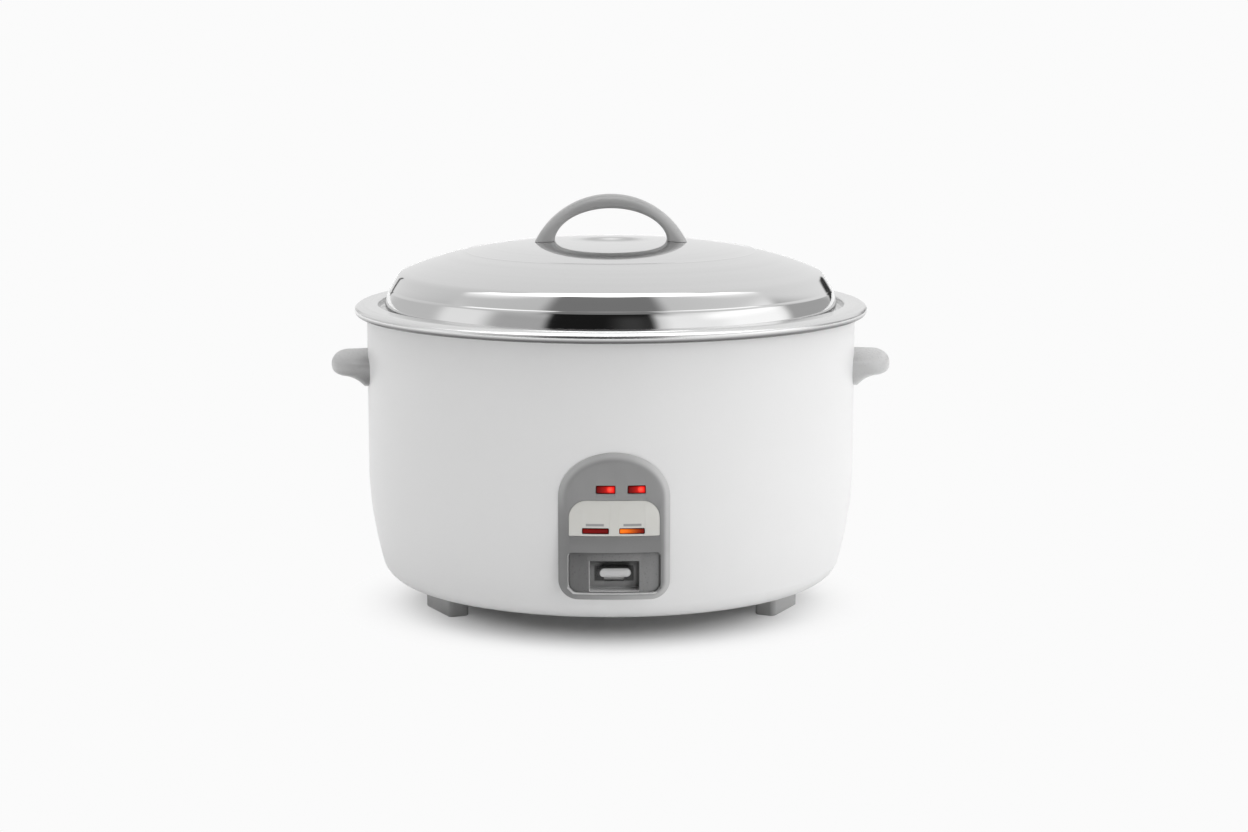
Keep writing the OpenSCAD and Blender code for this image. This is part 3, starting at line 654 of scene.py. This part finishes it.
def pocketed(name, colour, painted_light_pocket, roughness):
    """Moulded plastic of the tray, with painted shade on its left and painted light on its right.

    A painted highlight runs along the left and the bottom of its pocket's mouth. The pocket's paler colour is
    painted light; painted shade darkens its top and its right, and a painted shadow lies round the slot.
    """
    x0, x1, z0, z1 = [v * MM for v in POCKET]
    slot_z = 0.0588
    look = Look(name, colour, roughness)
    x, _, z = look.parts()
    aside = look.off(x, 0)
    radius = look.radius()
    # painted highlight along the left and the bottom of the pocket's mouth
    mouth_left = look.product(look.past(x, x0 - 0.0009, x0 - 0.0006), look.below(x, x0 + 0.0002, x0 + 0.0006))
    mouth_low = look.product(look.below(aside, x1, x1 + 0.0004), look.below(z, z0 + 0.0003, z0 + 0.0009))
    edge = look.product(look.maths("MAXIMUM", mouth_left, mouth_low),
                        look.below(radius, (TRAY_R - 0.3) * MM, (TRAY_R - 0.04) * MM))
    # painted shade at the pocket's top and right
    corner = look.maths("MAXIMUM", look.ranged(z, 0, 0.9, z1 - 0.010, z1 - 0.001, True),
                        look.ranged(x, 0, 0.8, x1 - 0.003, x1 - 0.0008, True))
    # painted shadow round the slot, under the knob
    painted_slot_shadow = look.product(look.below(aside, 0.0136, 0.0152, True),
                              look.below(look.off(z, slot_z), 0.005, 0.0068, True))
    # the pocket's paler colour is painted light
    pocket = look.mixed(look.maths("MAXIMUM", corner, painted_slot_shadow), painted_light_pocket, grey(0.03))
    # painted shade on the tray's left, painted light on its right
    face = look.mixed(look.past(x, -0.025, 0.025), [c * 0.72 for c in colour], [c * 1.16 for c in colour])
    inside = look.below(radius, (TRAY_R - 3) * MM, (TRAY_R - 1.2) * MM)
    shade = look.mixed(edge, look.mixed(inside, face, pocket), grey(0.62))
    scaled = look.nodes.new("ShaderNodeVectorMath")
    scaled.operation = "SCALE"
    look.links.new(shade, scaled.inputs[0])
    look.links.new(look.ranged(look.noise(60, 3), 0.97, 1.03), scaled.inputs["Scale"])
    look.set("Base Color", scaled.outputs[0])
    look.pebbled(roughness - 0.04, roughness + 0.05, 0.008)
    return look.material


def printed_label():
    """Smooth cream plate with a grey bar printed above each window."""
    bar_z, bar_centres = 0.0972, (-0.014, 0.0131)
    look = Look("label_cream", (0.645, 0.64, 0.607), 0.32)
    x, _, z = look.parts()
    row = look.below(look.off(z, bar_z), 0.0005, 0.0012)
    bars = look.maths("ADD", *[look.below(look.off(x, centre), 0.0063, 0.0067) for centre in bar_centres])
    ink = look.product(row, bars)
    cloud = look.mixed(look.ranged(look.noise(60, 3), 0, 1), (0.64, 0.635, 0.60), (0.65, 0.645, 0.615))
    look.set("Base Color", look.mixed(ink, cloud, grey(0.30)))
    look.pebbled(0.28, 0.37, 0.003)
    return look.material


MATERIALS = {
    "white_paint": paint(),
    "grey_plastic": plastic("grey_plastic", grey(0.34), 0.38),
    "side_plastic": side_plastic(),
    "grip_plastic": grip_plastic(),
    "foot_plastic": plastic("foot_plastic", grey(0.46), 0.36),
    "panel_plastic": panel_plastic(),
    # the tray's second grey is the pocket's paler colour, painted light
    "face_plastic": pocketed("face_plastic", grey(0.18), grey(0.34), 0.30),
    "label_cream": printed_label(),
    "knob_plastic": knob_plastic(),
    "lid_steel": lid_metal(),
    "pot_aluminium": pot_metal(),
    "sheet_aluminium": turned("sheet_aluminium", grey(0.72), 0.36, 0.3, 1400, 0.004),
    "cast_aluminium": turned("cast_aluminium", grey(0.66), 0.42, 0.3, 900, 0.010, 0.06),
    "zinc_steel": galvanised("zinc_steel"),
    "element_steel": rough_metal("element_steel", (0.20, 0.18, 0.16), 0.5, 900, 0.01, 0.25),
    "black_plastic": plastic("black_plastic", grey(0.02), 0.36, 0.012, 0.1),
    "pale_plastic": plastic("pale_plastic", (0.72, 0.70, 0.63), 0.45),
    "silicone": plastic("silicone", grey(0.045), 0.6, 0.006, 0.1),
    "mica_band": rough_metal("mica_band", (0.55, 0.47, 0.34), 0.55, 300, 0.01, 0.12),
    "ferrite": plastic("ferrite", grey(0.05), 0.5, 0.03, 0.2),
    "brass": rough_metal("brass", (0.66, 0.50, 0.25), 0.3, 900, 0.004),
    "wire_jacket": plastic("wire_jacket", (0.50, 0.09, 0.04), 0.5, 0.01, 0.06),
    "lamp_glass": plastic("lamp_glass", (0.85, 0.42, 0.16), 0.15, 0.001, 0.05),
    "button_red": plastic("button_red", (0.50, 0.03, 0.02), 0.35, 0.006),
}


# ---- lid ----

def dome(r):
    """Height of the lid's outer face at a radius."""
    t = r / SHOULDER_R
    return LID_TOP - DOME_RISE * (0.53 * t ** 2 + 0.47 * t ** 4)


def build_lid():
    """A shallow dome with a faint ring, a rounded shoulder, and a skirt with a crisp crease."""
    shoulder = (SHOULDER_R, dome(SHOULDER_R))
    crease = (SKIRT_R - 4.2, LID_TOP - 37)
    radii = [(SHOULDER_R - SHOULDER_LEG) * i / 48 for i in range(49)]
    radii += [RING_R + 0.4 * i for i in range(-6, 7)]
    path = [(r, dome(r) + RING_H * math.exp(-(r - RING_R) ** 2)) for r in sorted(radii)]
    band = bow(shoulder, crease, 0.2, 20)[4:]
    dome_end = path[-1]
    path += [blend(dome_end, shoulder, band[0], i / 8) for i in range(1, 8)]
    path += band + bow(crease, (crease[0] + 1.2, crease[1] - 1.9), 0.05, 8)[1:]
    path += bow(path[-1], (SKIRT_R - 0.2, SKIRT_BOTTOM + 4.4), 0.35, 20)[1:]
    path += [(SKIRT_R, SKIRT_BOTTOM)]
    lid = to_object(lathe(sheet(path, -1)), "lid_skin")
    finish_piece(lid, MATERIALS["lid_steel"], "lid_steel", "lid", "lid_shell", sharp=6)


def build_lid_handle():
    """An arch with rounded edges, part of a circle outside and half an ellipse inside."""
    foot = LID_TOP - HANDLE_SINK
    rise = GRIP_TOP - foot
    radius = (GRIP_SPAN ** 2 + rise ** 2) / (2 * rise)
    swing = math.degrees(math.asin(GRIP_SPAN / radius))
    loops = []
    steps = 64
    for i in range(steps + 1):
        t = i / steps
        a = math.radians(90 + swing - 2 * swing * t)
        outer = (radius * math.cos(a), GRIP_TOP - radius + radius * math.sin(a))
        b = math.pi * (1 - t)
        inner = ((GRIP_SPAN - 15.2) * math.cos(b), foot + (rise - 10) * max(math.sin(b), 0))
        thick = math.hypot(outer[0] - inner[0], outer[1] - inner[1])
        loop = []
        for y, s in rounded(-GRIP_HALF, GRIP_HALF, 0, thick, 2.6, 6.6):
            x = inner[0] + (outer[0] - inner[0]) * s / thick
            z = inner[1] + (outer[1] - inner[1]) * s / thick
            loop.append((x, y, z))
        loops.append(loop)
    for end in (0, -1):
        loops[end] = [(x, y, dome(math.hypot(x, y)) + 0.2) for x, y, z in loops[end]]
    handle = to_object(loft(loops), "lid_handle_skin")
    finish_piece(handle, MATERIALS["grip_plastic"], "grey_plastic", "lid", "lid_handle", sharp=60)


# ---- pot and housing ----

def build_pot():
    """A wall and a rounded bottom under a flange with the lid's ledge and a rolled edge."""
    roll_r, wall_r, corner, gauge = 4, 169, 36, 2
    roll_z, ledge, inner_floor = POT_TOP - 5, POT_TOP - 6, POT_UNDER + gauge
    turns = [math.pi * i / 32 for i in range(1, 17)]
    crown = [(RIM_R - 8 + 8 * math.cos(a), roll_z + 4.8 * math.sin(a)) for a in turns]
    path = (arc(RIM_R - roll_r, roll_z, roll_r, -150, 0, 24) + crown
            + arc(183.8, roll_z + 2.8, 2.2, 90, 180, 12) + arc(180.4, roll_z + 0.2, 1.2, 0, -90)
            + arc(wall_r + 3, ledge - 3, 3, 90, 180)
            + arc(wall_r - corner, inner_floor + corner, corner, 0, -90, 24) + [(0, inner_floor)])
    pot = to_object(lathe(sheet(path, gauge)), "pot_skin")
    finish_piece(pot, MATERIALS["pot_aluminium"], "pot_aluminium", "pot", "inner_pot", sharp=50)


def shell_path():
    """The shell's outer face from its lip down to its bottom opening."""
    belly_end, corner_r, turn = (179.5, BASE_Z + 13), 19.8, 20
    centre = (belly_end[0] - corner_r * math.cos(math.radians(turn)), BASE_Z + corner_r)
    lip = [(185.8, SHELL_TOP)] + arc(SHELL_R - 3, SHELL_TOP - 3, 3, 90, 0)
    belly = bow((SHELL_R, 105), belly_end, 2.1, 28)
    return lip + belly + arc(*centre, corner_r, -turn, -90, 20) + [(148, BASE_Z)]


def build_shell():
    """A drum of sheet with openings for the lever's pocket in front and the inlet behind."""
    shell = to_object(lathe(sheet(shell_path(), -SHEET)), "shell_skin")
    combine(shell, prism(grown(POCKET, 2, 2, 2), 160, 200))
    combine(shell, prism(grown(INLET_HOLE, 0, 1, 1), -200, -160))
    finish_piece(shell, MATERIALS["white_paint"], "white_paint", "housing", "outer_shell", sharp=50)


def build_side_handle(side, name):
    """A blade that rises slightly to a rounded tip and is hollowed underneath, fading out at both ends."""
    root = 186
    tip = abs(span(name, 0)[0 if side < 0 else 1])
    bottom, top = span(name, 2)
    half = span(name, 1)[1]
    section = [(root, top), (SHELL_R, top)]
    section += arc(tip - 9, top - 9.7, 9, 85, -10, 14) + arc(tip - 6.2, top - 10.8, 6.1, -20, -75, 8)
    section += bow((tip - 6, top - 17.2), (192.5, bottom + 0.1), -2.2, 12) + [(root, bottom)]
    middle = (top + bottom) / 2 + 0.8
    loops = []
    steps = 64
    for i in range(steps + 1):
        a = math.radians(-89.5 + 179 * i / steps)
        reach = math.cos(a) ** 0.55
        depth = math.cos(a) ** 0.5
        y = half * math.sin(a)
        loops.append([(side * (root + (x - root) * reach), y, middle + (z - middle) * depth)
                      for x, z in section])
    handle = to_object(loft(loops), name + "_skin")
    finish_piece(handle, MATERIALS["side_plastic"], "grey_plastic", "housing", name, sharp=60)


def build_foot(name):
    """A block with rounded upright corners and a softened bottom edge, with its screw's recess."""
    low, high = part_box(name)
    centre = [(low[i] + high[i]) / 2 / MM for i in range(2)]
    side = math.copysign(1, centre[0])
    end = math.copysign(1, centre[1])
    turn = math.radians(FOOT_TURN - 90)
    across, along = math.cos(turn), math.sin(turn)

    def placed(u, v, z):
        return (centre[0] + side * (u * across - v * along), centre[1] - end * (u * along + v * across), z)

    half_u, half_v = FOOT_SIZE
    outline = rounded(-half_u, half_u, -half_v, half_v, 4, 4)
    recess_r, recess_depth = 4.6, 6
    hole = [(recess_r * math.cos(a), recess_r * math.sin(a)) for a in (math.atan2(v, u) for u, v in outline)]
    loops = [[placed(u, v, z) for u, v in hole] for z in (recess_depth, 0)]
    for inset, z in ((1.2, 0), (0.6, 0.16), (0.16, 0.6), (0, 1.2), (0, BASE_Z + 1.3)):
        loops.append([placed(u * (1 - inset / half_u), v * (1 - inset / half_v), z) for u, v in outline])
    foot = to_object(loft(loops), name + "_skin")
    finish_piece(foot, MATERIALS["foot_plastic"], "grey_plastic", "housing", name, sharp=50)


# ---- panel ----

def panel_outline(inset):
    """The panel's arched outline in front view, smaller by an inset."""
    half, arch, corner = PANEL_HALF - inset, ARCH_H - inset, PANEL_CORNER - inset
    z0 = PANEL_Z0 + inset
    crown = [(half * math.cos(a), PANEL_Z1 - ARCH_H + arch * math.sin(a))
             for a in (math.pi * i / 48 for i in range(49))]
    return (arc(half - corner, z0 + corner, corner, -90, 0, 12) + crown
            + arc(corner - half, z0 + corner, corner, 180, 270, 12))


LENSES = ("lamp_lens_left", "lamp_lens_right", "cook_window", "warm_window")
WINDOWS = LENSES[2:]


def opening(node, grow):
    """The outline of a lens or window in front view."""
    return grown(front_box(node), grow, 1, 1)


def tray_outline(grow):
    return grown(front_box("lever_tray"), grow, 7, 3)


def label_outline(grow):
    return grown(front_box("label_plate"), grow, 0.8, 13)


def build_panel():
    """A plate laid on the shell, with sloping flanks, a soft-edged recess and a shallow label seat."""
    soft, brim = 1.6, 0.8
    loops = [[(x, -(SHELL_R - 14), z) for x, z in panel_outline(0)]]
    knee = (FLANK_W - soft, PANEL_RISE - soft * (PANEL_RISE - brim) / FLANK_W)
    flank = bow((0, brim), knee, 0.1, 5)
    flank += [blend(knee, (FLANK_W, PANEL_RISE), (FLANK_W + soft, PANEL_RISE), i / 6) for i in range(1, 7)]
    for inset, rise in flank:
        loops.append([(x, -(SHELL_R + rise), z) for x, z in panel_outline(inset)])
    panel = to_object(loft(loops), "panel_skin")
    combine(panel, flared(lambda grow: tray_outline(SEAT_GAP + grow), BEHIND_FACE, FACE_R, 1.0))
    combine(panel, prism(label_outline(SEAT_GAP), LABEL_R, PAST_FACE))
    for node in LENSES:
        combine(panel, prism(opening(node, SEAT_GAP), BEHIND_FACE, PAST_FACE))
    bevel(panel, 0.2, 2)
    wrap(panel)
    combine(panel, lathe([(0, SHELL_TOP)] + beside(shell_path(), 0.15) + [(0, BASE_Z)]))
    finish_piece(panel, MATERIALS["panel_plastic"], "grey_plastic", "housing", "panel_housing", sharp=30)


def build_tray():
    """A plate with a box behind it: the pocket, with a slot in its floor for the lever."""
    back_r, floor_r = 178, 179.5
    tray = to_object(prism(tray_outline(0), TRAY_R - 1.6, TRAY_R), "lever_tray_skin")
    x0, x1, z0, z1 = POCKET
    box = rounded(x0 - 1.5, x1 + 1.5, z0 - 0.8, z1 + 1.5, 1.5, 1.5)
    combine(tray, prism(box, back_r, TRAY_R - 0.8), "UNION")
    combine(tray, flared(lambda grow: grown(POCKET, grow, 0.8, 0.8), floor_r, TRAY_R, 0.7))
    combine(tray, prism(grown(SLOT, 0, 1, 1), 170, 185))
    bevel(tray, 0.3, 3)
    wrap(tray)
    finish_piece(tray, MATERIALS["face_plastic"], "face_plastic", "housing", "lever_tray")


def build_label():
    """A thin plate with cut-outs for the two windows."""
    label = to_object(prism(label_outline(0), LABEL_R, FACE_R - 0.1), "label_skin")
    for node in WINDOWS:
        combine(label, prism(opening(node, 0.15), BEHIND_FACE, PAST_FACE))
    bevel(label, 0.15, 2)
    wrap(label)
    finish_piece(label, MATERIALS["label_cream"], "label_cream", "housing", "label_plate")


def build_lens(node, slot, *look):
    """A lens or window, with the arguments of its look."""
    low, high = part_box(node)
    material = lens(node + "_look", ((low[0], low[2]), (high[0], high[2])), *look)
    piece = to_object(prism(opening(node, 0), FACE_R - 3, FACE_R - 0.2), node + "_skin")
    bevel(piece, 0.5)
    wrap(piece)
    finish_piece(piece, material, slot, "housing", node)


def build_knob():
    """A pill with a domed front."""
    x0, x1, z0, z1 = front_box("lever_knob")
    far, near = span("lever_knob", 1)
    dome_depth, steps = 3, 8
    r = (z1 - z0) / 2 - 0.1
    loops = [[(x, near, z) for x, z in rounded(x0, x1, z0, z1, r, r)]]
    for i in range(steps + 1):
        a = math.radians(90 * i / steps)
        inset = dome_depth * (1 - math.cos(a))
        outline = rounded(x0 + inset, x1 - inset, z0 + inset, z1 - inset, r - inset, r - inset)
        loops.append([(x, far + dome_depth * (1 - math.sin(a)), z) for x, z in outline])
    knob = to_object(loft(loops), "lever_knob_skin")
    finish_piece(knob, MATERIALS["knob_plastic"], "knob_plastic", "lever", "lever_knob", sharp=60)


# ---- studio ----

WHITE = 0.964
FLOOR_TONE = grey(0.905)

# Each patch of the sky: a pair of coordinates, their ranges and a softness in degrees, and a brightness.
# Later patches lie over earlier ones.
PATCHES = (
    # a pale wall on the right, brighter further round and along its top
    ("upright", (26, 98), (-8, 33), 7, 1.03),
    ("upright", (60, 98), (-8, 30), 8, 1.2),
    ("upright", (50, 96), (21, 27), 7, 1.45),
    # a dim wall on the left, paler further round
    ("upright", (-64, -28), (-8, 30), 8, 0.44),
    ("upright", (-98, -68), (-8, 30), 7, 0.92),
    # bright panels high on both sides, with a slanting lower edge
    ("mirrored", (44, 100), (52, 150), 3, 1.3),
    ("mirrored", (44, 100), (63, 150), 4, 2.9),
    # darker walls behind the object, with a sloping top
    ("sloping", (102, 150), (-40, 27), 4, 0.42),
    ("sloping", (-154, -101), (-40, 28), 6, 0.60),
    # the bright ceiling, and a dim band below it towards the camera
    ("upright", (-400, 400), (70, 100), 6, 2.9),
    ("upright", (-43, 33), (34, 67), 6, 0.21),
    # a dark opening behind the camera, a little paler right of its middle
    ("upright", (-34, 22), (-10, 44), 3, 0.012),
    ("upright", (2, 18), (-10, 30), 7, 0.05),
    # two small dark marks behind the object
    ("upright", (150, 161), (-2, 9), 2, 0.04),
    ("upright", (-160, -157), (0, 12), 1.2, 0.06),
)

# More light on dull surfaces only, most of it from the right: azimuths in degrees, and brightness.
WASHES = (((12, 112), 0.55), ((-125, -45), 0.05))
WASH_RISES = (-8, 60)
WASH_SOFT = 15


def build_floor():
    """A pale floor that turns into an even white a little way from the object."""
    bm = bmesh.new()
    bmesh.ops.create_grid(bm, x_segments=8, y_segments=8, size=300)
    floor = to_object(bm, "floor")
    look = Look("floor_look", FLOOR_TONE, 0.9, Specular_IOR_Level=0.0, Emission_Color=(1, 1, 1, 1))
    seen = look.nodes.new("ShaderNodeLightPath").outputs["Is Camera Ray"]
    even = look.product(seen, look.ranged(look.radius(), 0.03, 1, 0.10, 0.215, True))
    look.set("Base Color", look.mixed(even, FLOOR_TONE, grey(0)))
    look.set("Emission Strength", look.product(even, WHITE))
    floor.data.materials.append(look.material)


def build_sky():
    """A soft tent of light. Azimuth is 0 towards the camera and 90 to the right, elevation is 90 overhead."""
    world = bpy.data.worlds.new("studio")
    world.use_nodes = True
    scene.world = world
    sky = Graph(world.node_tree)

    def inside(value, limits, soft):
        low, high = limits
        return sky.product(sky.past(value, low - soft, low + soft, True),
                           sky.past(value, high + soft, high - soft, True))

    def tilted(start, slope):
        """Elevation that grows with the turn away from the camera on either side."""
        return sky.maths("ADD", elevation, sky.product(sky.maths("SUBTRACT", aside, start), slope))

    direction = sky.nodes.new("ShaderNodeSeparateXYZ")
    sky.links.new(sky.nodes.new("ShaderNodeTexCoord").outputs["Generated"], direction.inputs[0])
    x, y, z = direction.outputs
    azimuth = sky.maths("DEGREES", sky.maths("ARCTAN2", x, sky.product(y, -1)))
    elevation = sky.maths("DEGREES", sky.maths("ARCSINE", z))
    aside = sky.maths("ABSOLUTE", azimuth)
    coordinates = {
        "upright": (azimuth, elevation),
        "mirrored": (aside, tilted(65, 0.39)),
        "sloping": (azimuth, tilted(110, 0.6)),
    }

    level = sky.maths("ADD", sky.maths("ADD", 0.70, sky.product(x, 0.06)), sky.product(y, 0.14))
    for kind, turns, rises, soft, brightness in PATCHES:
        turn, rise = coordinates[kind]
        mask = sky.product(inside(turn, turns, soft), inside(rise, rises, soft))
        level = sky.between(level, brightness, mask)
    rays = sky.nodes.new("ShaderNodeLightPath").outputs
    for azimuths, brightness in WASHES:
        mask = sky.product(inside(azimuth, azimuths, WASH_SOFT), inside(elevation, WASH_RISES, WASH_SOFT))
        level = sky.maths("ADD", level, sky.product(mask, rays["Is Diffuse Ray"], brightness))
    background = sky.nodes["Background"]
    background.inputs["Color"].default_value = (1, 1, 1, 1)
    sky.links.new(sky.between(level, WHITE, rays["Is Camera Ray"]), background.inputs["Strength"])


def build_camera():
    """A long lens a little above the rim, looking slightly down."""
    data = bpy.data.cameras.new("camera")
    data.lens = 77.9
    data.sensor_width = 36
    data.clip_end = 1000
    camera = bpy.data.objects.new("camera", data)
    camera.location = (-0.025, -2.104, 0.478)
    camera.rotation_euler = (math.radians(81.04), 0, math.radians(-0.96))
    scene.collection.objects.link(camera)
    scene.camera = camera


# ---- assembly ----

build_camera()
build_floor()
build_sky()

build_lid()
build_lid_handle()
build_pot()
build_shell()
build_side_handle(-1, "side_handle_left")
build_side_handle(1, "side_handle_right")
for corner_name in ("foot_front_left", "foot_front_right", "foot_rear_left", "foot_rear_right"):
    build_foot(corner_name)
build_panel()
build_tray()
build_label()
for lamp in ("lamp_lens_left", "lamp_lens_right"):
    build_lens(lamp, "lamp_red", DARK_RED, LAMP_RED, (0.30, 0.60), (0.72, 0.52, 0.0032, 0.8))
build_lens("cook_window", "lens_dark_red", COOK_RED, DARK_RED, (0.35, 0.30), (0.5, 0.5, 0.003, 0))
build_lens("warm_window", "lens_amber", AMBER, WARM_RED, (0.50, 0.30), (0.2, 0.5, 0.003, 0))
build_knob()

for row in frame["record"]["subparts"]:
    cad_node = frame["nodes"][row["node"]]
    if not cad_node.hide_render:
        cad_node.data.materials.clear()
        cad_node.data.materials.append(MATERIALS[row["material_slot"]])

scene.view_settings.view_transform = "Standard"
